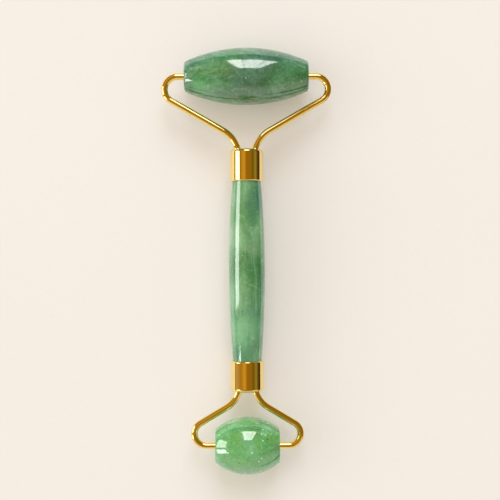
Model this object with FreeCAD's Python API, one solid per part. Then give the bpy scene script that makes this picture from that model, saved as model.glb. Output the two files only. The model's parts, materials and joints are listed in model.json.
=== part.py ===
import FreeCAD, Part
import math
import os

os.makedirs("parts", exist_ok=True)

# Jade face roller, in millimetres, lying on a flat surface at Z = 0.
# +X runs along the roller axes, +Y along the handle to the large roller, +Z is up.
# The rollers have the same radius and carry the whole tool, so every axis is at one height.
axis_height = 9.7

# Roller stones: a barrel with a round-arc side, flat ends and one bore for both bushes.
stone_bore_radius = 2.1
rollers = {
    "large": {"axis_y": 62.75, "length": 42.2, "side_arc": 49.6, "edge_round": 1.1},
    "small": {"axis_y": -62.75, "length": 21.8, "side_arc": 16.7, "edge_round": 0.5},
}

# Nylon bushes: blind cups pressed into the ends of the bore, a little below the face.
bush_recess = 0.3
bush_length = 7.0
bush_bore_radius = 1.21
bush_bore_depth = 5.6
bush_lead_in = 0.2

# Arms: one bent wire on each side of each yoke.
wire_radius = 1.15
wire_in_stone = 5.7
wire_tip_chamfer = 0.25
wire_straight_in_ferrule = 1.0
yokes = {
    "large": {"stub_x": 23.4, "top_bend": 4.4, "turn": 150.0, "foot_bend": 10.5, "foot_x": 2.6},
    "small": {"stub_x": 13.96, "top_bend": 4.1, "turn": 149.0, "foot_bend": 9.5, "foot_x": 2.5},
}

# Ferrules: cast cups, open towards the handle, with a solid end that holds wires and stud.
ferrule_radius = 5.65
cup_radius = 4.9
end_round = 1.0
rim_round = 0.45
rim_inner_round = 0.12
ferrules = {
    "large": {"rim_y": 27.1, "end_y": 37.9, "cup_depth": 4.4, "toward": 1},
    "small": {"rim_y": -33.86, "end_y": -44.2, "cup_depth": 4.0, "toward": -1},
}

# Braze: a low ring where each wire leaves the ferrule.
braze_ring_radius = 1.25
braze_bead_radius = 0.38

# Handle stone: an arc from rim to rim, thickest near the middle, with a tenon at each end.
handle_middle_y = -3.4
handle_middle_radius = 6.15
handle_rim_radius = 4.83
shoulder_in_cup = 0.4
tenon_radius = 4.6
tenon_end_gap = 0.2
stud_bore_radius = 1.75
stud_bore_depth = 10.5

# Studs: short rods brazed into the ferrule and glued into the stone.
stud_radius = 1.5
stud_in_ferrule = 2.2
stud_in_stone = 9.8
stud_chamfer = 0.3

handle_axis = (FreeCAD.Vector(0, 0, axis_height), FreeCAD.Vector(0, 1, 0))


def point(x, y):
    return FreeCAD.Vector(x, y, axis_height)


def save(shape, node):
    shape.exportStep("parts/" + node + ".step")


def solid_of_turn(outline, axis):
    """Turn a closed outline of points and three-point arcs about an axis in its plane."""
    edges = []
    start = outline[0]
    for step in outline[1:] + outline[:1]:
        if isinstance(step, tuple):
            middle, end = step
            edges.append(Part.Arc(start, middle, end).toShape())
        else:
            end = step
            edges.append(Part.LineSegment(start, end).toShape())
        start = end
    face = Part.Face(Part.Wire(edges))
    base, direction = axis
    return Part.Solid(face.revolve(base, direction, 360).Shells[0])


def circles_at(shape, radius, centre):
    """The circular edges of one radius around one centre."""
    found = []
    for edge in shape.Edges:
        round_edge = isinstance(edge.Curve, Part.Circle)
        if round_edge and abs(edge.Curve.Radius - radius) < 0.01:
            if (edge.Curve.Center - centre).Length < 0.01:
                found.append(edge)
    return found


def roller_stone(roller):
    half = roller["length"] / 2
    y = roller["axis_y"]
    arc = roller["side_arc"]
    end_radius = axis_height - (arc - math.sqrt(arc**2 - half**2))
    outline = [
        point(-half, y + stone_bore_radius),
        point(-half, y + end_radius),
        (point(0, y + axis_height), point(half, y + end_radius)),
        point(half, y + stone_bore_radius),
    ]
    stone = solid_of_turn(outline, (point(0, y), FreeCAD.Vector(1, 0, 0)))
    for end in (-half, half):
        stone = stone.makeFillet(roller["edge_round"], circles_at(stone, end_radius, point(end, y)))
    return stone


def bush(roller, side):
    """A blind cup whose mouth faces outwards; side is -1 for the left end, 1 for the right."""
    y = roller["axis_y"]
    mouth = roller["length"] / 2 - bush_recess
    bore_end = mouth - bush_bore_depth
    back = mouth - bush_length
    outline = [
        point(side * back, y),
        point(side * back, y + stone_bore_radius),
        point(side * mouth, y + stone_bore_radius),
        point(side * mouth, y + bush_bore_radius + bush_lead_in),
        point(side * (mouth - bush_lead_in), y + bush_bore_radius),
        point(side * bore_end, y + bush_bore_radius),
        point(side * bore_end, y),
    ]
    return solid_of_turn(outline, (point(0, y), FreeCAD.Vector(1, 0, 0)))


def wire_path(name):
    """The right arm's centreline, from its tip in the roller to its end in the ferrule.

    Returns it with the point where it crosses the ferrule's end face. drop is the distance
    from the roller's axis towards the handle.
    """
    yoke = yokes[name]
    toward = ferrules[name]["toward"]
    axis_y = rollers[name]["axis_y"]
    turn = math.radians(yoke["turn"])
    top = yoke["top_bend"]
    foot = yoke["foot_bend"]

    def at(x, drop):
        return point(x, axis_y - toward * drop)

    def on_top_bend(angle):
        return at(yoke["stub_x"] + top * math.sin(angle), top - top * math.cos(angle))

    tip = at(rollers[name]["length"] / 2 - wire_in_stone, 0)
    run_start = on_top_bend(turn)
    foot_centre_x = yoke["foot_x"] + foot
    run_end_x = foot_centre_x - foot * math.sin(turn)
    run_length = (run_end_x - run_start.x) / math.cos(turn)
    run_start_drop = top - top * math.cos(turn)
    run_end_drop = run_start_drop + run_length * math.sin(turn)
    foot_centre_drop = run_end_drop - foot * math.cos(turn)

    def on_foot_bend(angle):
        return at(foot_centre_x - foot * math.sin(angle), foot_centre_drop + foot * math.cos(angle))

    run_end = on_foot_bend(turn)
    foot_end = on_foot_bend(math.pi / 2)
    end = at(yoke["foot_x"], foot_centre_drop + wire_straight_in_ferrule)
    edges = [
        Part.LineSegment(tip, on_top_bend(0)).toShape(),
        Part.Arc(on_top_bend(0), on_top_bend(turn / 2), run_start).toShape(),
        Part.LineSegment(run_start, run_end).toShape(),
        Part.Arc(run_end, on_foot_bend((turn + math.pi / 2) / 2), foot_end).toShape(),
        Part.LineSegment(foot_end, end).toShape(),
    ]
    face_drop = toward * (axis_y - ferrules[name]["end_y"])
    face_angle = math.acos((face_drop - foot_centre_drop) / foot)
    return Part.Wire(edges), on_foot_bend(face_angle)


def mirrored(shape):
    return shape.mirror(point(0, 0), FreeCAD.Vector(1, 0, 0))


def arm(name):
    """The right arm: a round wire swept along its path, with its tip chamfered."""
    path, _ = wire_path(name)
    tip = path.Edges[0].Vertexes[0].Point
    section = Part.Wire(Part.makeCircle(wire_radius, tip, FreeCAD.Vector(1, 0, 0)))
    sweep = path.makePipeShell([section], True, True)
    wire = Part.Solid(sweep.Shells[0])
    return wire.makeChamfer(wire_tip_chamfer, circles_at(wire, wire_radius, tip))


def in_cup(name, radius, depth):
    """A point of a turned outline, at a depth from the ferrule's rim towards its solid end."""
    ferrule = ferrules[name]
    return point(radius, ferrule["rim_y"] + ferrule["toward"] * depth)


def ferrule_blank(name):
    """The turned ferrule with its stud hole, before the wires' holes."""
    cup = ferrules[name]["cup_depth"]
    length = abs(ferrules[name]["end_y"] - ferrules[name]["rim_y"])
    outline = [
        in_cup(name, 0, cup + stud_in_ferrule),
        in_cup(name, stud_radius, cup + stud_in_ferrule),
        in_cup(name, stud_radius, cup),
        in_cup(name, cup_radius, cup),
        in_cup(name, cup_radius, 0),
        in_cup(name, ferrule_radius, 0),
        in_cup(name, ferrule_radius, length),
        in_cup(name, 0, length),
    ]
    blank = solid_of_turn(outline, handle_axis)
    rounds = [
        (end_round, ferrule_radius, length),
        (rim_round, ferrule_radius, 0),
        (rim_inner_round, cup_radius, 0),
    ]
    for size, radius, depth in rounds:
        blank = blank.makeFillet(size, circles_at(blank, radius, in_cup(name, 0, depth)))
    return blank


def braze_bead(name, blank, wire):
    """The part of a ring around one wire that stands proud of the ferrule."""
    _, leaves_at = wire_path(name)
    up = FreeCAD.Vector(0, 1, 0)
    ring = Part.makeTorus(braze_ring_radius, braze_bead_radius, leaves_at, up)
    core = Part.makeCylinder(braze_ring_radius, braze_bead_radius, leaves_at, up * ferrules[name]["toward"])
    proud = ring.fuse(core).cut(blank).cut(wire)
    return max(proud.Solids, key=lambda solid: solid.Volume)


def adhesive(name):
    """The cured glue between stone and ferrule: sleeve, end disc and the sheath round the stud."""
    cup = ferrules[name]["cup_depth"]
    stone_end = cup - tenon_end_gap
    outline = [
        in_cup(name, tenon_radius, shoulder_in_cup),
        in_cup(name, cup_radius, shoulder_in_cup),
        in_cup(name, cup_radius, cup),
        in_cup(name, stud_radius, cup),
        in_cup(name, stud_radius, cup - stud_in_stone),
        in_cup(name, 0, cup - stud_in_stone),
        in_cup(name, 0, stone_end - stud_bore_depth),
        in_cup(name, stud_bore_radius, stone_end - stud_bore_depth),
        in_cup(name, stud_bore_radius, stone_end),
        in_cup(name, tenon_radius, stone_end),
    ]
    return solid_of_turn(outline, handle_axis)


def stud(name):
    """A round rod with chamfered ends, from the ferrule's solid end into the stone."""
    seat = ferrules[name]["cup_depth"] + stud_in_ferrule
    tip = ferrules[name]["cup_depth"] - stud_in_stone
    outline = [
        in_cup(name, 0, seat),
        in_cup(name, stud_radius - stud_chamfer, seat),
        in_cup(name, stud_radius, seat - stud_chamfer),
        in_cup(name, stud_radius, tip + stud_chamfer),
        in_cup(name, stud_radius - stud_chamfer, tip),
        in_cup(name, 0, tip),
    ]
    return solid_of_turn(outline, handle_axis)


def handle_end(name):
    """The outline of one end of the handle stone, from the rim's shoulder to the stud bore."""
    stone_end = ferrules[name]["cup_depth"] - tenon_end_gap
    return [
        in_cup(name, handle_rim_radius, shoulder_in_cup),
        in_cup(name, tenon_radius, shoulder_in_cup),
        in_cup(name, tenon_radius, stone_end),
        in_cup(name, stud_bore_radius, stone_end),
        in_cup(name, stud_bore_radius, stone_end - stud_bore_depth),
        in_cup(name, 0, stone_end - stud_bore_depth),
    ]


def handle_stone():
    large_end = handle_end("large")
    small_end = handle_end("small")
    middle = point(handle_middle_radius, handle_middle_y)
    outline = large_end[::-1] + [(middle, small_end[0])] + small_end[1:]
    return solid_of_turn(outline, handle_axis)


def build():
    save(handle_stone(), "handle_stone")
    for name in ("large", "small"):
        right = arm(name)
        left = mirrored(right)
        blank = ferrule_blank(name)
        bead = braze_bead(name, blank, right)
        save(right, name + "_right_arm")
        save(left, name + "_left_arm")
        save(blank.cut(right).cut(left), name + "_ferrule")
        save(Part.makeCompound([bead, mirrored(bead)]), name + "_braze_beads")
        save(stud(name), name + "_stud")
        save(adhesive(name), name + "_ferrule_adhesive")
        save(roller_stone(rollers[name]), name + "_roller_stone")
        save(bush(rollers[name], 1), name + "_right_bush")
        save(bush(rollers[name], -1), name + "_left_bush")


build()
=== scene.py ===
import json
import math

import bmesh
import bpy
from mathutils import Matrix, Vector


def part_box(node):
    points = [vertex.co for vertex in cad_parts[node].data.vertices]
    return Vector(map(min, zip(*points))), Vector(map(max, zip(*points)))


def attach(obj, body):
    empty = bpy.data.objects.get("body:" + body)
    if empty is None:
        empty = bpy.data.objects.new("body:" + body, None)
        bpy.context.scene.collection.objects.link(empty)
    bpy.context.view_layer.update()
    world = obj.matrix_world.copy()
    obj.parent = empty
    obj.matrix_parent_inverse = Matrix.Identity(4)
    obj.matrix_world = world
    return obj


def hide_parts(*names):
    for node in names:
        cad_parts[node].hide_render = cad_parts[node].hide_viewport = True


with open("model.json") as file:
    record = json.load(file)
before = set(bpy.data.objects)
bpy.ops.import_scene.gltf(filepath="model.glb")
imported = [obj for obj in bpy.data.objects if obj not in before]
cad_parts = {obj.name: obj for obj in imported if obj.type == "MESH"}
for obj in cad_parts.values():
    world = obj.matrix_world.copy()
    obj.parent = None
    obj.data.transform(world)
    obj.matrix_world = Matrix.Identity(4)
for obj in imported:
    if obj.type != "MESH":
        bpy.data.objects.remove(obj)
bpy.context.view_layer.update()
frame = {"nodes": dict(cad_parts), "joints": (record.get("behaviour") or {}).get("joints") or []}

scene = bpy.context.scene
mm = 0.001
right = Vector((1, 0, 0))
forward = Vector((0, 1, 0))
rollerAxis = {joint["child"]: Vector(joint["pos_m"]) for joint in frame["joints"]}
axisHeight = rollerAxis["large_roller"].z


class Signal:
    # One output socket. The operators add Math nodes, so a formula reads as it would on paper.
    def __init__(self, board, socket):
        self.board = board
        self.socket = socket

    def out(self, name):
        return Signal(self.board, self.socket.node.outputs[name])

    def __add__(self, other):
        return self.board.math("ADD", self, other)

    def __radd__(self, other):
        return self.board.math("ADD", other, self)

    def __sub__(self, other):
        return self.board.math("SUBTRACT", self, other)

    def __rsub__(self, other):
        return self.board.math("SUBTRACT", other, self)

    def __mul__(self, other):
        return self.board.math("MULTIPLY", self, other)

    def __truediv__(self, other):
        return self.board.math("DIVIDE", self, other)


class Board:
    # Puts nodes on one tree.
    def __init__(self, tree):
        self.tree = tree

    def add(self, kind, settings=None, values=None, out=0):
        # settings first, then values or links; gives the output asked for
        node = self.tree.nodes.new(kind)
        for name, value in (settings or {}).items():
            if name == "stops":
                self.setStops(node.color_ramp.elements, value)
            else:
                setattr(node, name, value)
        for key, value in (values or {}).items():
            if isinstance(value, Signal):
                self.tree.links.new(value.socket, node.inputs[key])
            else:
                node.inputs[key].default_value = value
        return Signal(self, node.outputs[out]) if len(node.outputs) else node

    def setStops(self, elements, stops):
        while len(elements) < len(stops):
            elements.new(1)
        for element, (place, colour) in zip(elements, stops):
            element.position = place
            element.color = colour

    def math(self, operation, *terms):
        return self.add("ShaderNodeMath", {"operation": operation}, dict(enumerate(terms)))

    def vector(self, operation, *terms):
        return self.add("ShaderNodeVectorMath", {"operation": operation}, dict(enumerate(terms)))

    def scaled(self, vector, factor):
        return self.add("ShaderNodeVectorMath", {"operation": "SCALE"}, {0: vector, 3: factor})

    def noise(self, place, size, detail=2.0, roughness=0.5):
        values = {"Vector": place, "Scale": size, "Detail": detail, "Roughness": roughness}
        return self.add("ShaderNodeTexNoise", {}, values)

    def wander(self, place, size, detail, reach):
        # a vector that wanders about nothing, by up to about a third of reach
        shade = self.noise(place, size, detail).out("Color")
        return self.scaled(self.vector("SUBTRACT", shade, (0.5, 0.5, 0.5)), reach)

    def length(self, operation, *terms):
        # the vector operations whose answer is a number
        return self.add("ShaderNodeVectorMath", {"operation": operation}, dict(enumerate(terms)), "Value")

    def ease(self, value, low, high, start=0.0, end=1.0):
        # a smooth step from start to end as value goes from low to high
        settings = {"interpolation_type": "SMOOTHSTEP"}
        return self.add("ShaderNodeMapRange", settings, {0: value, 1: low, 2: high, 3: start, 4: end})

    def mixed(self, factor, first, second):
        settings = {"data_type": "RGBA", "clamp_factor": True}
        return self.add("ShaderNodeMix", settings, {0: factor, 6: first, 7: second}, out=2)

    def ramp(self, value, stops):
        return self.add("ShaderNodeValToRGB", {"stops": stops}, {0: value})

    def moved(self, place, shift=(0, 0, 0), turn=(0, 0, 0), stretch=(1, 1, 1)):
        values = {"Vector": place, "Location": shift, "Rotation": turn, "Scale": stretch}
        return self.add("ShaderNodeMapping", {}, values)


def tint(red, green, blue):
    # a colour as a screen shows it, 0 to 255, turned into the linear colour that shaders take
    def linear(level):
        level /= 255
        return level / 12.92 if level < 0.04045 else ((level + 0.055) / 1.055) ** 2.4
    return (linear(red), linear(green), linear(blue), 1)


def newFinish(name):
    material = bpy.data.materials.new(name)
    material.use_nodes = True
    board = Board(material.node_tree)
    return material, board, material.node_tree.nodes["Principled BSDF"]


def setShader(board, shader, values):
    for name, value in values.items():
        if isinstance(value, Signal):
            board.tree.links.new(value.socket, shader.inputs[name])
        else:
            shader.inputs[name].default_value = value


# Clouds, drift, grain, sugar, flecks and lines are in features per metre, so 150 is a cloud about
# 7 mm across. A patch is (middle in mm, radius in mm, colour, strength), and a crack is (middle in
# mm, the way that its plane faces, radius in mm).
jadeLooks = {
    "handleJade": {
        "deep": tint(72, 134, 86), "body": tint(98, 160, 108), "pale": tint(146, 194, 150),
        "cool": tint(92, 150, 120), "warm": tint(112, 170, 110),
        "shift": (0.11, 0.02, 0.05), "turn": (0.05, 0.1, 0.0), "stretch": (1.0, 0.45, 1.0),
        "clouds": 190, "span": 0.18, "drift": 60, "fibre": (1.0, 0.16, 1.0),
        "grain": 700, "grainAmount": 0.45, "sugar": 1100, "sugarAmount": 0.20,
        "fleckCells": 420, "fleckSize": 0.19 * mm, "fleckShare": 0.68,
        "lines": 34, "lineAmount": 0.18, "glow": 0.85, "glowDepth": 2.4 * mm,
        "patches": [
            ((3.5, 20, 13), 6.5, tint(70, 132, 106), 0.75),
            ((-1.0, 20.5, 15), 3.5, tint(128, 176, 130), 0.6),
            # the three pale patches at x -5 to -5.5 are painted light: the handle's left side painted
            # lighter, as lit from the left with a painted reflection of the floor
            ((-5.0, 8, 12), 6, tint(164, 196, 162), 0.7),
            ((1.5, 4.5, 15), 4, tint(140, 174, 134), 0.55),
            ((-5.0, -12, 11), 7, tint(156, 200, 160), 0.6),
            ((2.5, -4.5, 14), 9, tint(60, 132, 80), 0.8),
            ((-0.5, -23, 15), 8, tint(138, 200, 152), 0.7),
            ((-5.5, 21, 11), 5, tint(138, 178, 146), 0.5),
            ((1, -11, 15), 5.5, tint(80, 146, 92), 0.6),
        ],
        "cracks": [((1.4, -8.0, 15), (0.50, 0.86, 0.1), 5.0), ((2.0, 9.0, 14), (0.95, 0.25, 0.1), 3.0)],
    },
    "largeRollerJade": {
        "deep": tint(38, 98, 66), "body": tint(62, 130, 86), "pale": tint(120, 174, 134),
        "cool": tint(84, 130, 112), "warm": tint(80, 152, 96),
        "shift": (0.43, 0.31, 0.17), "turn": (0.2, 0.3, 0.4), "stretch": (0.8, 1.0, 1.0),
        "clouds": 150, "span": 0.25, "drift": 52, "fibre": (0.5, 1.0, 1.0),
        "grain": 600, "grainAmount": 0.42, "sugar": 1000, "sugarAmount": 0.40,
        "fleckCells": 460, "fleckSize": 0.20 * mm, "fleckShare": 0.60,
        "lines": 40, "lineAmount": 0.22, "glow": 0.85, "glowDepth": 2.6 * mm,
        "patches": [
            ((-14, 61, 15), 6.5, tint(88, 178, 106), 0.8),
            ((17, 61, 14), 5.5, tint(96, 162, 92), 0.55),
            ((-19, 64, 12), 4, tint(128, 170, 128), 0.5),
            ((2, 58, 17), 6, tint(72, 112, 86), 0.55),
            ((-7, 66, 17), 5, tint(64, 134, 84), 0.5),
            ((8, 66, 17), 5, tint(72, 120, 94), 0.5),
            ((-12, 57, 14), 5.5, tint(112, 158, 132), 0.5),
        ],
        "cracks": [((17, 66, 14), (0.4, 0.9, 0.1), 5.0), ((-17, 65, 14), (-0.2, 0.97, 0.1), 4.0)],
    },
    "smallRollerJade": {
        "deep": tint(80, 158, 86), "body": tint(104, 178, 112), "pale": tint(150, 206, 156),
        "cool": tint(122, 184, 140), "warm": tint(118, 180, 86),
        "shift": (0.71, 0.13, 0.37), "turn": (0.3, 0.1, 0.2), "stretch": (0.8, 1.0, 1.0),
        "clouds": 190, "span": 0.25, "drift": 75, "fibre": (0.5, 1.0, 1.0),
        "grain": 700, "grainAmount": 0.40, "sugar": 1100, "sugarAmount": 0.36,
        "fleckCells": 540, "fleckSize": 0.37 * mm, "fleckShare": 0.50,
        "lines": 60, "lineAmount": 0.22, "glow": 0.85, "glowDepth": 2.6 * mm,
        "patches": [
            ((0, -70.5, 14), 6, tint(118, 178, 140), 0.65),
            ((-5, -58, 17), 4.5, tint(96, 164, 78), 0.6),
            ((4, -61.5, 19), 3.5, tint(104, 176, 84), 0.6),
            ((9, -63, 15), 3, tint(112, 160, 120), 0.6),
            ((2.5, -57, 16), 4.5, tint(94, 154, 78), 0.7),
        ],
        "cracks": [((4, -57, 16), (0.2, 0.95, 0.2), 5.0), ((-6, -67, 15), (0.5, 0.8, 0.2), 4.0)],
    },
}


# What all three stones share. Bend, rag, pits and waves are in features per metre.
jadeFlaws = {
    "bend": 110, "lineColour": tint(200, 220, 184), "crackColour": tint(186, 210, 168), "crackAmount": 0.5,
    # the fleck colour and amount are painted glints: near-white spots for polish pits catching the light,
    # over the stone's own pale grains
    "crackHalfWidth": 0.16 * mm, "fleckGlintColour": tint(222, 242, 208), "fleckGlintAmount": 0.92,
    "speckColour": tint(38, 58, 40), "speckAmount": 0.8, "rag": 3000, "pits": 2600, "waves": 420,
}


def polishedJade(name, look):
    material, board, shader = newFinish(name)
    place = board.add("ShaderNodeTexCoord", out="Object")
    stone = board.moved(place, look["shift"], look["turn"], look["stretch"])
    # the clouds are bent by a slower noise, as colour runs in cut stone
    bent = board.vector("ADD", stone, board.wander(stone, jadeFlaws["bend"], 2, 5 * mm))
    clouds = board.noise(bent, look["clouds"], 5, 0.6)
    low, high = 0.50 - look["span"], 0.50 + look["span"]
    colour = board.ramp(clouds, [(low, look["deep"]), (0.50, look["body"]), (high, look["pale"])])
    drift = board.noise(stone, look["drift"], 2, 0.4)
    colour = board.mixed(board.ease(drift, 0.50, 0.66, 0, 0.7), colour, look["cool"])
    colour = board.mixed(board.ease(drift, 0.48, 0.34, 0, 0.7), colour, look["warm"])
    # zones where the stone turns greener, greyer or paler; the pale ones along the handle's left side are
    # painted light, that side painted lighter as the lit side with the floor's reflection
    near = board.vector("ADD", place, board.wander(stone, jadeFlaws["bend"], 2, 9 * mm))
    for centre, radius, zone, amount in look["patches"]:
        middle = tuple(value * mm for value in centre)
        distance = board.length("DISTANCE", near, middle)
        share = board.ease(distance, radius * mm, radius * 0.25 * mm, 0, amount)
        colour = board.mixed(share, colour, zone)
    # fibres along the stone, then the sugary grain of the crystals
    grain = board.noise(board.moved(bent, stretch=look["fibre"]), look["grain"], 4, 0.65)
    colour = board.mixed(board.ease(grain, 0.50, 0.72, 0, look["grainAmount"]), colour, look["pale"])
    colour = board.mixed(board.ease(grain, 0.48, 0.30, 0, look["grainAmount"]), colour, look["deep"])
    sugar = board.noise(place, look["sugar"], 2, 0.7)
    colour = board.mixed(board.ease(sugar, 0.52, 0.72, 0, look["sugarAmount"] * 1.4), colour, look["pale"])
    colour = board.mixed(board.ease(sugar, 0.48, 0.30, 0, look["sugarAmount"]), colour, look["deep"])
    # thin healed cracks: the level line of a slow noise, broken up by another
    level = board.math("ABSOLUTE", board.noise(bent, look["lines"], 3, 0.5) - 0.5)
    broken = board.ease(board.noise(place, 210, 2), 0.50, 0.60)
    line = board.ease(level, 0.0035, 0.0005) * broken * look["lineAmount"]
    colour = board.mixed(line, colour, jadeFlaws["lineColour"])
    # single healed cracks: wavering planes that fade out round a middle point
    wavering = board.vector("ADD", place, board.wander(place, 500, 3, 2.4 * mm))
    for centre, facing, radius in look["cracks"]:
        middle = tuple(value * mm for value in centre)
        offset = board.vector("SUBTRACT", wavering, middle)
        depth = board.math("ABSOLUTE", board.length("DOT_PRODUCT", offset, facing))
        away = board.length("LENGTH", offset)
        crack = board.ease(depth, jadeFlaws["crackHalfWidth"], 0.04 * mm)
        crack = crack * board.ease(away, radius * mm, radius * 0.7 * mm) * board.ease(sugar, 0.36, 0.52)
        colour = board.mixed(crack * jadeFlaws["crackAmount"], colour, jadeFlaws["crackColour"])
    # pale flecks, partly the stone's own white grains and partly painted glints where polish pits catch
    # the light, and a few dark specks, each at a random spot of its cell and a little ragged
    rag = board.noise(place, jadeFlaws["rag"], 2)
    flecks = board.add("ShaderNodeTexVoronoi", {}, {"Vector": place, "Scale": look["fleckCells"]})
    reach = look["fleckSize"] * look["fleckCells"]
    chosen = board.ease(flecks.out("Color"), look["fleckShare"] - 0.01, look["fleckShare"] + 0.01)
    fleckGlint = board.ease(flecks + (rag - 0.5) * reach, reach, reach * 0.45) * chosen
    colour = board.mixed(fleckGlint * jadeFlaws["fleckGlintAmount"], colour, jadeFlaws["fleckGlintColour"])
    specks = board.add("ShaderNodeTexVoronoi", {}, {"Vector": stone, "Scale": look["fleckCells"] * 0.6})
    rare = board.ease(specks.out("Color"), 0.71, 0.73)
    speck = board.ease(specks + (rag - 0.5) * reach, reach * 0.75, reach * 0.3) * rare
    colour = board.mixed(speck * jadeFlaws["speckAmount"], colour, jadeFlaws["speckColour"])
    # the polish is a little uneven, with tiny pits left by the wheel
    pits = board.noise(place, jadeFlaws["pits"], 2, 0.5)
    waves = board.noise(place, jadeFlaws["waves"], 2, 0.5)
    height = board.ease(pits, 0.52, 0.75) * 0.5 + waves * 0.8
    bump = board.add("ShaderNodeBump", {}, {"Strength": 0.3, "Distance": 0.02 * mm, "Height": height})
    setShader(board, shader, {
        "Base Color": colour,
        "Roughness": 0.045 + board.ease(sugar, 0.40, 0.70, 0, 0.06) + fleckGlint * 0.15,
        "Normal": bump,
        "IOR": 1.61,
        "Specular IOR Level": 1.0,
        "Coat Weight": 0.32,
        "Coat Roughness": 0.03,
        "Coat IOR": 1.5,
        "Subsurface Weight": look["glow"],
        "Subsurface Radius": (0.5, 1.0, 0.6),
        "Subsurface Scale": look["glowDepth"],
    })
    return material


goldLook = {
    "bright": (1.0, 0.80, 0.34, 1), "rich": (0.98, 0.76, 0.28, 1),
    "shine": 0.02, "smudge": 0.03, "scratch": 0.05,  # how rough the bare, fingered and wiped parts are
}


def goldPlate():
    material, board, shader = newFinish("goldPlate")
    place = board.add("ShaderNodeTexCoord", out="Object")
    shade = board.noise(place, 260, 3, 0.6)
    smudge = board.ease(board.noise(place, 150, 4, 0.6), 0.50, 0.75)
    # fine wiping scratches, long across the tool's length
    scratch = board.noise(board.moved(place, turn=(0, 0, 0.5), stretch=(1, 14, 6)), 900, 2, 0.7)
    waves = board.noise(place, 380, 1, 0.4)
    height = waves + board.ease(scratch, 0.62, 0.75) * 0.05
    dull = smudge * goldLook["smudge"] + board.ease(scratch, 0.6, 0.8) * goldLook["scratch"]
    bump = board.add("ShaderNodeBump", {}, {"Strength": 0.25, "Distance": 0.02 * mm, "Height": height})
    setShader(board, shader, {
        "Base Color": board.mixed(shade, goldLook["bright"], goldLook["rich"]),
        "Metallic": 1.0,
        "Roughness": goldLook["shine"] + dull,
        "Normal": bump,
    })
    return material


steelLook = {"dark": (0.50, 0.50, 0.49, 1), "light": (0.62, 0.62, 0.60, 1)}


def turnedSteel():
    material, board, shader = newFinish("brightSteel")
    place = board.add("ShaderNodeTexCoord", out="Object")
    lines = board.noise(board.moved(place, stretch=(1, 12, 1)), 1500, 3, 0.6)
    bump = board.add("ShaderNodeBump", {}, {"Strength": 0.3, "Distance": 0.01 * mm, "Height": lines})
    setShader(board, shader, {
        "Base Color": board.mixed(lines, steelLook["dark"], steelLook["light"]),
        "Metallic": 1.0,
        "Roughness": board.ease(lines, 0.3, 0.7, 0.22, 0.38),
        "Normal": bump,
    })
    return material


nylonLook = {"dark": tint(226, 222, 206), "light": tint(238, 236, 224), "glowDepth": 0.6 * mm}


def naturalNylon():
    material, board, shader = newFinish("naturalNylon")
    place = board.add("ShaderNodeTexCoord", out="Object")
    flow = board.noise(place, 800, 4, 0.6)
    tooth = board.noise(place, 5200, 2)
    bump = board.add("ShaderNodeBump", {}, {"Strength": 0.3, "Distance": 0.02 * mm, "Height": tooth})
    setShader(board, shader, {
        "Base Color": board.mixed(flow, nylonLook["dark"], nylonLook["light"]),
        "Roughness": board.ease(flow, 0.3, 0.7, 0.38, 0.52),
        "Normal": bump,
        "IOR": 1.53,
        "Subsurface Weight": 0.3,
        "Subsurface Radius": (1.0, 0.9, 0.7),
        "Subsurface Scale": nylonLook["glowDepth"],
    })
    return material


epoxyLook = {"dark": tint(196, 184, 132), "light": tint(212, 202, 156), "bubble": tint(232, 226, 196)}


def curedEpoxy():
    material, board, shader = newFinish("curedEpoxy")
    place = board.add("ShaderNodeTexCoord", out="Object")
    cast = board.noise(place, 420, 4, 0.6)
    bubbles = board.add("ShaderNodeTexVoronoi", {}, {"Vector": place, "Scale": 1900})
    bubble = board.ease(bubbles, 0.25, 0.10)
    colour = board.mixed(cast, epoxyLook["dark"], epoxyLook["light"])
    height = cast - bubble * 0.5
    bump = board.add("ShaderNodeBump", {}, {"Strength": 0.5, "Distance": 0.03 * mm, "Height": height})
    setShader(board, shader, {
        "Base Color": board.mixed(bubble * 0.5, colour, epoxyLook["bubble"]),
        "Roughness": 0.16 + bubble * 0.2,
        "Normal": bump,
        "IOR": 1.55,
    })
    return material


tableLook = {
    "halfSide": 2.6,
    "dark": (0.694, 0.662, 0.613, 1), "light": (0.722, 0.692, 0.643, 1), "fibre": (0.67, 0.62, 0.555, 1),
    # a weak glow lifts the shadows, as light scattered in a bright room does
    "glow": (1.0, 0.84, 0.69, 1), "glowStrength": 0.155,
}


def creamTable():
    material, board, shader = newFinish("creamTable")
    place = board.add("ShaderNodeTexCoord", out="Object")
    broad = board.noise(place, 9, 3, 0.5)
    fine = board.noise(place, 700, 3, 0.6)
    colour = board.mixed(broad, tableLook["dark"], tableLook["light"])
    colour = board.mixed(board.ease(fine, 0.5, 0.8, 0, 0.25), colour, tableLook["fibre"])
    bump = board.add("ShaderNodeBump", {}, {"Strength": 0.1, "Distance": 0.02 * mm, "Height": fine})
    setShader(board, shader, {
        "Base Color": colour,
        "Roughness": board.ease(fine, 0.3, 0.7, 0.62, 0.72),
        "Normal": bump,
        "Specular IOR Level": 0.25,
        "Emission Color": tableLook["glow"],
        "Emission Strength": tableLook["glowStrength"],
    })
    return material


finishes = {name: polishedJade(name, look) for name, look in jadeLooks.items()}
finishes.update({
    "gold": goldPlate(),
    "steel": turnedSteel(),
    "nylon": naturalNylon(),
    "epoxy": curedEpoxy(),
})
print("finishes made:", ", ".join(finishes))


def newTree(name, inputs):
    # a Geometry Nodes tree with named inputs; gives its board and its input signals
    tree = bpy.data.node_groups.new(name, "GeometryNodeTree")
    tree.interface.new_socket("Geometry", in_out="INPUT", socket_type="NodeSocketGeometry")
    tree.interface.new_socket("Geometry", in_out="OUTPUT", socket_type="NodeSocketGeometry")
    for label, kind in inputs.items():
        tree.interface.new_socket(label, in_out="INPUT", socket_type="NodeSocket" + kind)
    board = Board(tree)
    given = board.add("NodeGroupInput")
    return board, {label: given.out(label) for label in ["Geometry", *inputs]}


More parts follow.
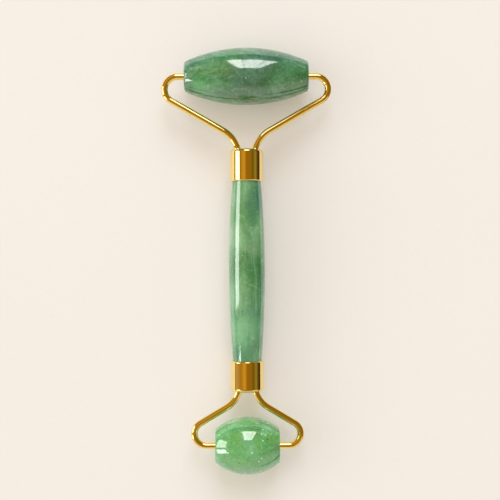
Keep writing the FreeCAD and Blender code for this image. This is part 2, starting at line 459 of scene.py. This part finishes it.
def endTree(board, mesh, finish):
    # smooth faces with sharp corners kept, then the two nodes that every tree ends in
    mesh = board.add("GeometryNodeSetShadeSmooth", {"domain": "FACE"}, {"Geometry": mesh})
    corner = board.math("GREATER_THAN", board.add("GeometryNodeInputMeshEdgeAngle"), math.radians(35))
    values = {"Geometry": mesh, "Selection": corner, "Shade Smooth": False}
    mesh = board.add("GeometryNodeSetShadeSmooth", {"domain": "EDGE"}, values)
    mesh = board.add("GeometryNodeRealizeInstances", {}, {"Geometry": mesh})
    mesh = board.add("GeometryNodeSetMaterial", {}, {"Geometry": mesh, "Material": finish})
    board.add("NodeGroupOutput", {}, {"Geometry": mesh})
    return board.tree


def turnedTree():
    # Turns a chain of points about the Z axis. Each point is (radius, station, 0); the skin may
    # be moved in and out a little by Polish, as a hand-polished surface is.
    kinds = {
        "Steps": "Int", "Polish": "Float", "Polish Size": "Float", "Seed": "Float", "Finish": "Material",
    }
    board, given = newTree("turned", kinds)
    outline = given["Geometry"]
    rings = board.add("GeometryNodeAttributeDomainSize", {"component": "MESH"}, {"Geometry": outline})
    perRing = given["Steps"] + 1
    grid = board.add("GeometryNodeMeshGrid", {}, {"Vertices X": rings, "Vertices Y": perRing})
    index = board.add("GeometryNodeInputIndex")
    ring = board.math("FLOOR", (index + 0.5) / perRing)
    turn = (index - ring * perRing) / given["Steps"] * math.tau
    place = board.add("GeometryNodeInputPosition")
    settings = {"data_type": "FLOAT_VECTOR", "domain": "POINT"}
    values = {"Geometry": outline, "Value": place, "Index": board.math("ROUND", ring)}
    spot = board.add("GeometryNodeSampleIndex", settings, values)
    flat = board.add("ShaderNodeSeparateXYZ", {}, {0: spot})
    radius = flat.out("X")
    x = radius * board.math("COSINE", turn)
    y = radius * board.math("SINE", turn)
    round3d = board.add("ShaderNodeCombineXYZ", {}, {0: x, 1: y, 2: flat.out("Y")})
    skin = board.add("GeometryNodeSetPosition", {}, {"Geometry": grid, "Position": round3d})
    skin = board.add("GeometryNodeMergeByDistance", {}, {"Geometry": skin, "Distance": 0.0008 * mm})
    shifted = board.vector("ADD", place, board.add("ShaderNodeCombineXYZ", {}, {2: given["Seed"]}))
    wobble = (board.noise(shifted, given["Polish Size"], 2, 0.5) - 0.5) * given["Polish"]
    offset = board.scaled(board.add("GeometryNodeInputNormal"), wobble)
    skin = board.add("GeometryNodeSetPosition", {}, {"Geometry": skin, "Offset": offset})
    return endTree(board, skin, given["Finish"])


def bentWireTree():
    # A round wire along five stretches: stub in the roller, top bend, straight run, foot bend and
    # tail in the ferrule. Each stretch takes the part of the length that falls in it.
    kinds = {name: "Float" for name in (
        "Tip X", "Stub X", "Top Bend", "Turn", "Foot Bend", "Foot X", "Tail", "Axis Y",
        "Axis Height", "Toward", "Side", "Wire Radius", "Chamfer", "Points", "Sides")}
    kinds["Finish"] = "Material"
    board, given = newTree("bentWire", kinds)
    turn, top, foot = given["Turn"], given["Top Bend"], given["Foot Bend"]
    sine, cosine = board.math("SINE", turn), board.math("COSINE", turn)
    runStart = given["Stub X"] + top * sine
    runEnd = given["Foot X"] + foot * (1 - sine)
    lengths = [
        given["Stub X"] - given["Tip X"],
        top * turn,
        (runEnd - runStart) / cosine,
        foot * (turn - math.pi / 2),
        given["Tail"],
    ]
    total = lengths[0] + lengths[1] + lengths[2] + lengths[3] + lengths[4]
    index = board.add("GeometryNodeInputIndex")
    # the second point sits one chamfer behind the tip, and the rest are evenly spaced
    share = board.math("MAXIMUM", index - 1, 0) / (given["Points"] - 2)
    inner = board.math("MINIMUM", index, 1)
    along = inner * given["Chamfer"] + share * (total - given["Chamfer"])
    parts = []
    gone = 0.0
    for length in lengths:
        parts.append(board.math("MINIMUM", board.math("MAXIMUM", along - gone, 0), length))
        gone = gone + length
    angle = parts[1] / top
    back = parts[3] / foot
    heading = turn - back
    x = given["Tip X"] + parts[0] + top * board.math("SINE", angle) + parts[2] * cosine
    x = x + foot * (sine - board.math("SINE", heading))
    drop = top * (1 - board.math("COSINE", angle)) + parts[2] * sine + parts[4]
    drop = drop + foot * (board.math("COSINE", heading) - cosine)
    y = given["Axis Y"] - given["Toward"] * drop
    spot = board.add("ShaderNodeCombineXYZ", {}, {0: given["Side"] * x, 1: y, 2: given["Axis Height"]})
    line = board.add("GeometryNodeMeshLine", {}, {"Count": given["Points"]})
    line = board.add("GeometryNodeSetPosition", {}, {"Geometry": line, "Position": spot})
    curve = board.add("GeometryNodeMeshToCurve", {}, {"Mesh": line})
    size = 1 - (1 - inner) * given["Chamfer"] / given["Wire Radius"]
    curve = board.add("GeometryNodeSetCurveRadius", {}, {"Curve": curve, "Radius": size})
    values = {"Resolution": given["Sides"], "Radius": given["Wire Radius"]}
    section = board.add("GeometryNodeCurvePrimitiveCircle", {}, values)
    values = {"Curve": curve, "Profile Curve": section, "Scale": size, "Fill Caps": True}
    wire = board.add("GeometryNodeCurveToMesh", {}, values)
    return endTree(board, wire, given["Finish"])


def shapeFromTree(name, tree, inputs, points=()):
    # runs the tree on a mesh of bare points and keeps the result as a plain mesh
    source = bpy.data.meshes.new(name)
    source.from_pydata([(radius, station, 0) for radius, station in points], [], [])
    piece = bpy.data.objects.new(name, source)
    scene.collection.objects.link(piece)
    modifier = piece.modifiers.new("shape", "NODES")
    modifier.node_group = tree
    for item in tree.interface.items_tree:
        if item.in_out == "INPUT" and item.name in inputs:
            modifier[item.identifier] = inputs[item.name]
    shaped = piece.evaluated_get(bpy.context.evaluated_depsgraph_get())
    mesh = bpy.data.meshes.new_from_object(shaped)
    piece.modifiers.remove(modifier)
    piece.data = mesh
    bpy.data.meshes.remove(source)
    mesh.name = name
    return piece


def facesOutward(mesh):
    work = bmesh.new()
    work.from_mesh(mesh)
    bmesh.ops.recalc_face_normals(work, faces=work.faces)
    work.to_mesh(mesh)
    work.free()


def standAlong(axis, origin):
    # the matrix that lays a turned shape's Z along an axis from an origin
    return Matrix.Translation(origin) @ axis.to_track_quat("Z", "Y").to_matrix().to_4x4()


turned = turnedTree()
bentWire = bentWireTree()
print("shape trees made:", turned.name, bentWire.name)


support = 0.05 * mm      # a ring this close to each round keeps the flats beside it flat
longestStep = 0.45 * mm  # straight stretches are divided to this, so that the polish can show


def arcPoints(centre, radius, start, end, count):
    # start and end are angles from the outward direction towards the station's plus side
    points = []
    for step in range(count + 1):
        angle = start + (end - start) * step / count
        points.append((centre[0] + radius * math.cos(angle), centre[1] + radius * math.sin(angle)))
    return points


def rounded(corners, steps=12):
    # corners are (radius, station, roundness); a rounded one becomes a tangent arc
    points = []
    for index, (radius, station, size) in enumerate(corners):
        here = Vector((radius, station))
        if not size:
            points.append(tuple(here))
            continue
        before = (Vector(corners[index - 1][:2]) - here).normalized()
        after = (Vector(corners[(index + 1) % len(corners)][:2]) - here).normalized()
        halfAngle = before.angle(after) / 2
        reach = size / math.tan(halfAngle)
        centre = here + (before + after).normalized() * (size / math.sin(halfAngle))
        spoke = here + before * reach - centre
        sweep = (math.pi - 2 * halfAngle) * (1 if before.cross(after) < 0 else -1)
        points.append(tuple(here + before * (reach + support)))
        for step in range(steps + 1):
            points.append(tuple(centre + Matrix.Rotation(sweep * step / steps, 2) @ spoke))
        points.append(tuple(here + after * (reach + support)))
    return points


def divided(points, longest=longestStep):
    # adds points on long stretches
    result = [points[0]]
    for (r0, s0), (r1, s1) in zip(points, points[1:]):
        count = max(1, math.ceil(math.hypot(r1 - r0, s1 - s0) / longest - 0.01))
        for step in range(1, count + 1):
            share = step / count
            result.append((r0 + (r1 - r0) * share, s0 + (s1 - s0) * share))
    return result


def turnedPiece(name, points, finish, axis, origin, steps, polish=0.0, polishSize=120.0, seed=0.0):
    inputs = {"Steps": steps, "Polish": polish, "Polish Size": polishSize, "Seed": seed, "Finish": finish}
    piece = shapeFromTree(name, turned, inputs, points)
    facesOutward(piece.data)
    piece.data.transform(standAlong(axis, origin))
    return piece


def settle(piece, body, slot, *nodes):
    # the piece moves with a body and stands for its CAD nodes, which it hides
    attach(piece, body)
    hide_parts(*nodes)
    print("  made", piece.name, len(piece.data.polygons), "faces")


# Polish is how far the surface wanders in and out, and polish size its features per metre.
rollers = {
    "large": {"sideArc": 49.6 * mm, "edgeRound": 1.1 * mm, "finish": "largeRollerJade", "rings": 56,
              "polish": 0.05 * mm, "polishSize": 150.0, "seed": 3.0},
    "small": {"sideArc": 16.7 * mm, "edgeRound": 0.5 * mm, "finish": "smallRollerJade", "rings": 34,
              "polish": 0.04 * mm, "polishSize": 190.0, "seed": 7.0},
}
rollerStone = {"boreRadius": 2.1 * mm, "lip": 0.18 * mm, "longestStep": 0.6 * mm, "steps": 180}
bushSizes = {
    "boreRadius": 1.21 * mm, "boreDepth": 5.6 * mm, "leadIn": 0.2 * mm, "rimRound": 0.12 * mm, "steps": 72,
}


def rollerOutline(half, widest, look):
    # one half, from the middle of the side round to the middle of the bore, then its mirror image
    arc, edge = look["sideArc"], look["edgeRound"]
    lean = math.asin((half - edge) / (arc - edge))
    edgeCentre = (widest - arc + (arc - edge) * math.cos(lean), half - edge)
    side = arcPoints((widest - arc, 0), arc, 0, lean, look["rings"])
    edgeArc = arcPoints(edgeCentre, edge, lean, math.pi / 2, 16)
    bore, lip = rollerStone["boreRadius"], rollerStone["lip"]
    face = [(edgeCentre[0] - support, half), (bore + lip + support, half)]
    boreEdge = arcPoints((bore + lip, half - lip), lip, math.pi / 2, math.pi, 6)
    boreWall = [(bore, half - lip - support), (bore, 0)]
    oneHalf = side[:-1] + edgeArc + face + boreEdge + boreWall
    otherHalf = [(radius, -station) for radius, station in reversed(oneHalf)]
    return divided(otherHalf + oneHalf[1:], rollerStone["longestStep"])


def makeRollers():
    for name, look in rollers.items():
        body, node = name + "_roller", name + "_roller_stone"
        low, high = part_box(node)
        half, widest = (high.x - low.x) / 2, (high.z - low.z) / 2
        outline = rollerOutline(half, widest, look)
        stone = turnedPiece(
            name + "_roller_jade", outline, finishes[look["finish"]], right, rollerAxis[body],
            rollerStone["steps"], look["polish"], look["polishSize"], look["seed"])
        settle(stone, body, name + "_roller_jade", node)
        for side, sign in (("right", 1), ("left", -1)):
            makeBush(name, side, sign)


def makeBush(name, side, sign):
    # a blind cup whose mouth faces outwards
    node = f"{name}_{side}_bush"
    low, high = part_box(node)
    length, radius = high.x - low.x, (high.z - low.z) / 2
    mouth = Vector((high.x if sign > 0 else low.x, rollerAxis[name + "_roller"].y, axisHeight))
    bore, lead = bushSizes["boreRadius"], bushSizes["leadIn"]
    outline = rounded([
        (0, length, 0),
        (radius, length, bushSizes["rimRound"]),
        (radius, 0, bushSizes["rimRound"]),
        (bore + lead, 0, 0),
        (bore, lead, 0),
        (bore, bushSizes["boreDepth"], 0),
        (0, bushSizes["boreDepth"], 0),
    ], steps=5)
    piece = turnedPiece(
        node + "_shell", outline, finishes["nylon"], right * -sign, mouth, bushSizes["steps"])
    settle(piece, name + "_roller", "nylon", node)


makeRollers()
print("rollers made")


handleLook = {
    "rimRadius": 4.83 * mm, "shoulderInCup": 0.4 * mm, "tenonRadius": 4.6 * mm, "tenonRound": 0.25 * mm,
    "boreRadius": 1.75 * mm, "boreDepth": 10.5 * mm, "boreLip": 0.12 * mm,
    "rings": 110, "longestStep": 0.8 * mm, "steps": 160,
    "polish": 0.07 * mm, "polishSize": 95.0, "seed": 11.0,
}


def makeHandleStone():
    low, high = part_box("handle_stone")
    shoulders = {
        1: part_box("large_ferrule")[0].y + handleLook["shoulderInCup"],
        -1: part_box("small_ferrule")[1].y - handleLook["shoulderInCup"],
    }
    widest, rim = (high.x - low.x) / 2, handleLook["rimRadius"]
    middle = (shoulders[1] + shoulders[-1]) / 2
    half = (shoulders[1] - shoulders[-1]) / 2
    swell = widest - rim
    arc = (half ** 2 + swell ** 2) / (2 * swell)
    lean = math.asin(half / arc)
    side = arcPoints((widest - arc, middle), arc, -lean, lean, handleLook["rings"])

    def endOutline(sign, tenonEnd):
        # from the shoulder over the tenon to the bottom of the stud bore
        boreEnd = tenonEnd - sign * handleLook["boreDepth"]
        return rounded([
            (rim, shoulders[sign], 0),
            (handleLook["tenonRadius"], shoulders[sign], 0),
            (handleLook["tenonRadius"], tenonEnd, handleLook["tenonRound"]),
            (handleLook["boreRadius"], tenonEnd, handleLook["boreLip"]),
            (handleLook["boreRadius"], boreEnd, 0),
            (0, boreEnd, 0),
        ], steps=5)

    smallEnd = list(reversed(endOutline(-1, low.y)))
    outline = divided(smallEnd + side[1:-1] + endOutline(1, high.y), handleLook["longestStep"])
    origin = Vector((0, 0, axisHeight))
    stone = turnedPiece(
        "handle_jade", outline, finishes["handleJade"], forward, origin,
        handleLook["steps"], handleLook["polish"], handleLook["polishSize"], handleLook["seed"])
    settle(stone, "handle", "handle_jade", "handle_stone")


makeHandleStone()
print("handle stone made")


ferruleSizes = {
    "cupRadius": 4.9 * mm, "studHole": 1.5 * mm, "studInFerrule": 2.2 * mm,
    "endRound": 1.0 * mm, "rimRound": 0.45 * mm, "rimInnerRound": 0.12 * mm,
    "cupDepth": {"large": 4.4 * mm, "small": 4.0 * mm},
    "steps": 192, "polish": 0.018 * mm, "polishSize": 230.0,
}
yokes = {
    "large": {"Stub X": 23.4 * mm, "Top Bend": 4.4 * mm, "Turn": math.radians(150),
              "Foot Bend": 10.5 * mm, "Foot X": 2.6 * mm},
    "small": {"Stub X": 13.96 * mm, "Top Bend": 4.1 * mm, "Turn": math.radians(149),
              "Foot Bend": 9.5 * mm, "Foot X": 2.5 * mm},
}
wire = {"Wire Radius": 1.15 * mm, "Chamfer": 0.25 * mm, "Tail": 1.0 * mm, "Sides": 40, "Points": 300}
wireInStone = 5.7 * mm
studSizes = {"chamfer": 0.3 * mm, "steps": 48}
brazeCollar = {
    "spread": 1.62 * mm, "height": 0.46 * mm, "neck": 1.22 * mm, "core": 0.9 * mm, "root": 0.35 * mm,
    "leanShare": 0.7,  # how much of the wire's lean the collar follows
    "steps": 56, "polish": 0.12 * mm, "polishSize": 900.0,
}


def towards(name):
    # the way along Y from the handle to this end
    return 1 if name == "large" else -1


def makeFerrule(name):
    node = name + "_ferrule"
    low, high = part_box(node)
    sign = towards(name)
    radius, length = (high.x - low.x) / 2, high.y - low.y
    cup = ferruleSizes["cupDepth"][name]
    hole, cupRadius = ferruleSizes["studHole"], ferruleSizes["cupRadius"]
    outline = rounded([
        (0, cup + ferruleSizes["studInFerrule"], 0),
        (hole, cup + ferruleSizes["studInFerrule"], 0),
        (hole, cup, 0),
        (cupRadius, cup, 0),
        (cupRadius, 0, ferruleSizes["rimInnerRound"]),
        (radius, 0, ferruleSizes["rimRound"]),
        (radius, length, ferruleSizes["endRound"]),
        (0, length, 0),
    ])
    rim = Vector((0, low.y if sign > 0 else high.y, axisHeight))
    piece = turnedPiece(
        node + "_gold", divided(outline), finishes["gold"], forward * sign, rim,
        ferruleSizes["steps"], ferruleSizes["polish"], ferruleSizes["polishSize"], 20.0 + sign)
    settle(piece, "handle", "gold_plate", node)


def makeStud(name):
    low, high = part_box(name + "_stud")
    radius, length, chamfer = (high.x - low.x) / 2, high.y - low.y, studSizes["chamfer"]
    outline = [
        (0, 0),
        (radius - chamfer, 0),
        (radius, chamfer),
        (radius, length - chamfer),
        (radius - chamfer, length),
        (0, length),
    ]
    start = Vector((0, low.y, axisHeight))
    piece = turnedPiece(
        name + "_steel_stud", divided(outline), finishes["steel"], forward, start, studSizes["steps"])
    settle(piece, "handle", "steel", name + "_stud")


def makeArms(name):
    inputs = dict(wire)
    inputs.update(yokes[name])
    low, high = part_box(name + "_roller_stone")
    inputs.update({
        "Tip X": high.x - wireInStone,
        "Axis Y": rollerAxis[name + "_roller"].y,
        "Axis Height": axisHeight,
        "Toward": float(towards(name)),
        "Finish": finishes["gold"],
    })
    for side, sign in (("right", 1.0), ("left", -1.0)):
        node = f"{name}_{side}_arm"
        piece = shapeFromTree(node + "_wire", bentWire, {**inputs, "Side": sign})
        facesOutward(piece.data)
        settle(piece, "handle", "gold_plate", node)


def faceCrossing(name):
    # where the right arm's centre passes the ferrule's end face, and how far it leans there
    yoke, sign = yokes[name], towards(name)
    top, foot, turn = yoke["Top Bend"], yoke["Foot Bend"], yoke["Turn"]
    runStart = yoke["Stub X"] + top * math.sin(turn)
    runEnd = yoke["Foot X"] + foot * (1 - math.sin(turn))
    run = (runEnd - runStart) / math.cos(turn)
    centreDrop = top * (1 - math.cos(turn)) + run * math.sin(turn) - foot * math.cos(turn)
    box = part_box(name + "_ferrule")
    face = box[1].y if sign > 0 else box[0].y
    drop = sign * (rollerAxis[name + "_roller"].y - face)
    angle = math.acos((drop - centreDrop) / foot)
    return Vector((yoke["Foot X"] + foot * (1 - math.sin(angle)), face, axisHeight)), angle - math.pi / 2


def makeBraze(name):
    # a small fillet of braze round each wire, drawn up where the wire leans
    spot, lean = faceCrossing(name)
    sign = towards(name)
    spread, height, neck = brazeCollar["spread"], brazeCollar["height"], brazeCollar["neck"]
    count = 12
    curve = []
    for step in range(count + 1):
        angle = step / count * math.pi / 2
        radius = neck + (spread - neck) * (1 - math.sin(angle))
        curve.append((radius, height * (1 - math.cos(angle))))
    outline = [(brazeCollar["core"], -brazeCollar["root"]), (spread, -brazeCollar["root"])]
    outline += curve + [(brazeCollar["core"], height), (brazeCollar["core"], -brazeCollar["root"])]
    collars = []
    for side in (1, -1):
        axis = Vector((side * math.sin(lean) * brazeCollar["leanShare"], sign, 0)).normalized()
        origin = Vector((side * spot.x, spot.y, spot.z))
        collars.append(turnedPiece(
            f"{name}_collar", outline, finishes["gold"], axis, origin,
            brazeCollar["steps"], brazeCollar["polish"], brazeCollar["polishSize"], 40.0 + side))
    work = bmesh.new()
    for collar in collars:
        work.from_mesh(collar.data)
    piece = collars[0]
    work.to_mesh(piece.data)
    work.free()
    bpy.data.objects.remove(collars[1])
    piece.name = name + "_braze_collars"
    settle(piece, "handle", "gold_plate", name + "_braze_beads")


def finishAdhesive(name):
    node = frame["nodes"][name + "_ferrule_adhesive"]
    node.data.materials.clear()
    node.data.materials.append(finishes["epoxy"])


for name in ("large", "small"):
    makeFerrule(name)
    makeStud(name)
    makeArms(name)
    makeBraze(name)
    finishAdhesive(name)
print("ferrules, studs, arms and braze made")


def makeFloor():
    mesh = bpy.data.meshes.new("table")
    half = tableLook["halfSide"]
    corners = [(x * half, y * half, 0) for x, y in ((-1, -1), (1, -1), (1, 1), (-1, 1))]
    mesh.from_pydata(corners, [], [(0, 1, 2, 3)])
    mesh.materials.append(creamTable())
    floor = bpy.data.objects.new("table", mesh)
    scene.collection.objects.link(floor)


# Windows are upright panes, measured in metres from the tool. A pane is up to three lights: gleam,
# a near one that only shows in reflections; soft, a far one of the same apparent size for the matt
# surfaces; and onStone, just behind the near one, for the reflections in the stones alone.
windows = {
    "topWindow": {
        "faces": (0, -1, 0), "distance": 0.565, "low": 0.275, "high": 1.08,
        "panes": [(-0.140, -0.032), (-0.024, 0.130), (0.140, 0.225)],
        "soft": 3.5, "gleam": [2.6, 2.8, 1.6], "softColour": (0.86, 0.93, 1.15), "gleamColour": (1, 1, 1),
        "onStone": [1.3, 0.6, 1.8],
    },
    # further along the same row, dimmer, for the slanting wire that faces it and nothing else
    "rowEnd": {
        "faces": (0, -1, 0), "distance": 0.565, "low": 0.30, "high": 1.15,
        "panes": [(-0.46, -0.20)], "only": ["large_right_arm_wire"],
        "soft": 0, "gleam": [0.95], "gleamColour": (0.92, 1.0, 1.3),
    },
    "leftWindow": {
        "faces": (1, 0, 0), "distance": 0.90, "low": 0.18, "high": 0.72,
        "panes": [(-0.115, 0.36), (-0.52, -0.26)],
        "soft": 1.3, "gleam": [2.7, 2.3], "softColour": (0.88, 0.94, 1.12), "gleamColour": (1, 1, 1),
        "onStone": [0.1, 2.2],
    },
}
farAway = 4.0
stones = ["large_roller_jade", "small_roller_jade", "handle_jade"]
stoneLightBehind = 8 * mm


def addPane(name, window, pane, radiance, matt):
    away = farAway if matt else 1.0
    width, height = (pane[1] - pane[0]) * away, (window["high"] - window["low"]) * away
    light = bpy.data.lights.new(name, "AREA")
    light.shape = "RECTANGLE"
    light.size, light.size_y = width, height
    light.energy = 4 * radiance * width * height
    light.color = window["softColour" if matt else "gleamColour"]
    lamp = bpy.data.objects.new(name, light)
    scene.collection.objects.link(lamp)
    facing = Vector(window["faces"])
    across = Vector((1, 0, 0)) if facing.x == 0 else Vector((0, 1, 0))
    middle = across * (pane[0] + pane[1]) / 2 + Vector((0, 0, (window["low"] + window["high"]) / 2))
    lamp.location = (middle - facing * window["distance"]) * away
    lamp.rotation_mode = "QUATERNION"
    lamp.rotation_quaternion = facing.to_track_quat("-Z", "Y")
    lamp.visible_camera = False
    lamp.visible_diffuse = matt
    lamp.visible_glossy = not matt
    lamp.visible_transmission = False
    if "only" in window:
        lit = bpy.data.collections.new(name + "Lit")
        for piece in window["only"]:
            lit.objects.link(bpy.data.objects[piece])
        lamp.light_linking.receiver_collection = lit


def makeLights():
    for name, window in windows.items():
        for number, pane in enumerate(window["panes"], 1):
            if window["soft"]:
                addPane(f"{name}Soft{number}", window, pane, window["soft"], True)
            addPane(f"{name}Gleam{number}", window, pane, window["gleam"][number - 1], False)
            if "onStone" in window:
                behind = {**window, "distance": window["distance"] + stoneLightBehind, "only": stones}
                addPane(f"{name}OnStone{number}", behind, pane, window["onStone"][number - 1], False)


# Dark strips beside the tool, seen only in reflections, which draw a thin line along polished metal.
flags = {
    "rightFlag": {"x": 0.060, "low": 0.001, "high": 0.0135},
    "leftFlag": {"x": -0.100, "low": 0.006, "high": 0.0135},
    "length": 0.5, "shade": (0.045, 0.035, 0.012, 1),
}


def makeFlags():
    material = bpy.data.materials.new("darkFlag")
    material.use_nodes = True
    material.node_tree.nodes.clear()
    board = Board(material.node_tree)
    shade = board.add("ShaderNodeEmission", {}, {"Color": flags["shade"], "Strength": 1.0})
    board.add("ShaderNodeOutputMaterial", {}, {"Surface": shade})
    for name in ("rightFlag", "leftFlag"):
        x, low, high, half = flags[name]["x"], flags[name]["low"], flags[name]["high"], flags["length"] / 2
        mesh = bpy.data.meshes.new(name)
        corners = [(x, -half, low), (x, half, low), (x, half, high), (x, -half, high)]
        mesh.from_pydata(corners, [], [(0, 1, 2, 3)])
        mesh.materials.append(material)
        flag = bpy.data.objects.new(name, mesh)
        scene.collection.objects.link(flag)
        flag.visible_camera = False
        flag.visible_diffuse = False
        flag.visible_shadow = False
        flag.visible_transmission = False


studio = {
    "fill": (0.825, 0.775, 0.705),
    # how much more of the soft light comes from the left and from behind the large roller
    "lean": (-0.45, 0.15),
    "backdrop": (0.92, 0.86, 0.775, 1),
    # what polished metal sees, from the left horizon over the top to the right one: a pale wall,
    # a brown ceiling with a warm band in it, a dark beam, a dim olive band and a dark wall
    "overhead": [
        (0.05, (0.50, 0.35, 0.15, 1)),
        (0.25, (0.40, 0.20, 0.02, 1)),
        (0.40, (0.60, 0.35, 0.05, 1)),
        (0.50, (0.30, 0.15, 0.01, 1)),
        (0.65, (0.30, 0.15, 0.01, 1)),
        (0.75, (0.15, 0.10, 0.01, 1)),
        (0.85, (0.30, 0.25, 0.05, 1)),
        (0.95, (0.10, 0.05, 0.01, 1)),
    ],
    # the dark horizon behind the large roller
    "behind": (0.03, 0.03, 0.02, 1),
    # a dim ceiling before the small end, then the lit wall there
    "front": (0.31, 0.20, 0.035, 1),
    "wallLow": (0.87, 0.79, 0.62, 1),
    "wallHigh": (0.78, 0.68, 0.46, 1),
}


def makeWorld():
    world = bpy.data.worlds.new("studio")
    world.use_nodes = True
    scene.world = world
    world.node_tree.nodes.clear()
    board = Board(world.node_tree)
    path = board.add("ShaderNodeLightPath", out="Is Camera Ray")
    look = board.add("ShaderNodeSeparateXYZ", {}, {0: board.add("ShaderNodeTexCoord", out="Generated")})
    x, y, z = look.out("X"), look.out("Y"), look.out("Z")
    across = board.math("ARCTAN2", x, z) / math.pi + 0.5
    overhead = board.ramp(across, studio["overhead"])
    overhead = board.mixed(board.ease(y, -0.15, -0.20), overhead, studio["front"])
    # it darkens towards the horizon behind the large roller, and a wall stands in front
    behind = board.ease(y, 0.3, 0.6) * board.ease(z, 0.45, 0.10)
    overhead = board.mixed(behind * 0.85, overhead, studio["behind"])
    wall = board.mixed(board.ease(z, 0.1, 0.7), studio["wallLow"], studio["wallHigh"])
    overhead = board.mixed(board.ease(y, -0.28, -0.42) * board.ease(z, 0.78, 0.45), overhead, wall)
    leanX, leanY = studio["lean"]
    fill = board.scaled(studio["fill"], 1 + x * leanX + y * leanY)
    seen = board.mixed(path.out("Is Glossy Ray"), fill, overhead)
    colour = board.mixed(path, seen, studio["backdrop"])
    shade = board.add("ShaderNodeBackground", {}, {"Color": colour, "Strength": 1.0})
    board.add("ShaderNodeOutputWorld", {}, {"Surface": shade})


cameraLook = {"lens": 84.7, "sensor": 36.0, "place": (1.06 * mm, 3.74 * mm, 409.7 * mm), "roll": -0.0037}


def makeCamera():
    data = bpy.data.cameras.new("camera")
    data.lens, data.sensor_width = cameraLook["lens"], cameraLook["sensor"]
    data.clip_start, data.clip_end = 0.01, 20
    camera = bpy.data.objects.new("camera", data)
    camera.location = cameraLook["place"]
    camera.rotation_euler.z = cameraLook["roll"]
    scene.collection.objects.link(camera)
    scene.camera = camera


makeFloor()
makeLights()
makeFlags()
makeWorld()
makeCamera()
scene.view_settings.view_transform = "Standard"
print("floor, lights and camera made")
